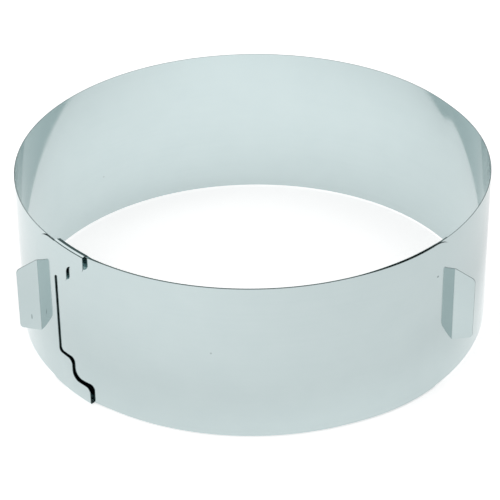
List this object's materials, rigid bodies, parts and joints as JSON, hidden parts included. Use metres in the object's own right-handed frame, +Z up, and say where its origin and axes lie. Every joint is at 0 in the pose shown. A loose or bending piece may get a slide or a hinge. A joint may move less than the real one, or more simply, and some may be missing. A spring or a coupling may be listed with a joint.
{
  "type": "adjustable cake ring",
  "caption": "Round, open steel ring for shaping cakes: one strip whose ends cross in a slit clasp and carry bent-out handles, so that its width can be set.",
  "frame": {"origin": "on the ring's axis, in the plane that the ring stands on, which touches the clasp's lower lip", "axes": "+Z up along the ring's axis; the front, with the clasp on its left and the outer end's handle on its right, faces -Y"},
  "size_m": [0.2408, 0.2408, 0.085],
  "materials": {
    "outer_strip": "polished spring stainless steel, with fine rolling marks along the strip",
    "clasp_strip": "polished spring stainless steel, with fine rolling marks along the strip"
  },
  "bodies": {
    "ring": {"outer_strip": "outer_strip"},
    "clasp": {"clasp_strip": "clasp_strip"}
  },
  "joints": [
    {"name": "clasp_travel", "type": "hinge", "parent": "ring", "child": "clasp", "pos_m": [0, 0, 0], "axis": [0, 0, 1], "range_deg": [-119.6, 89.7]}
  ]
}
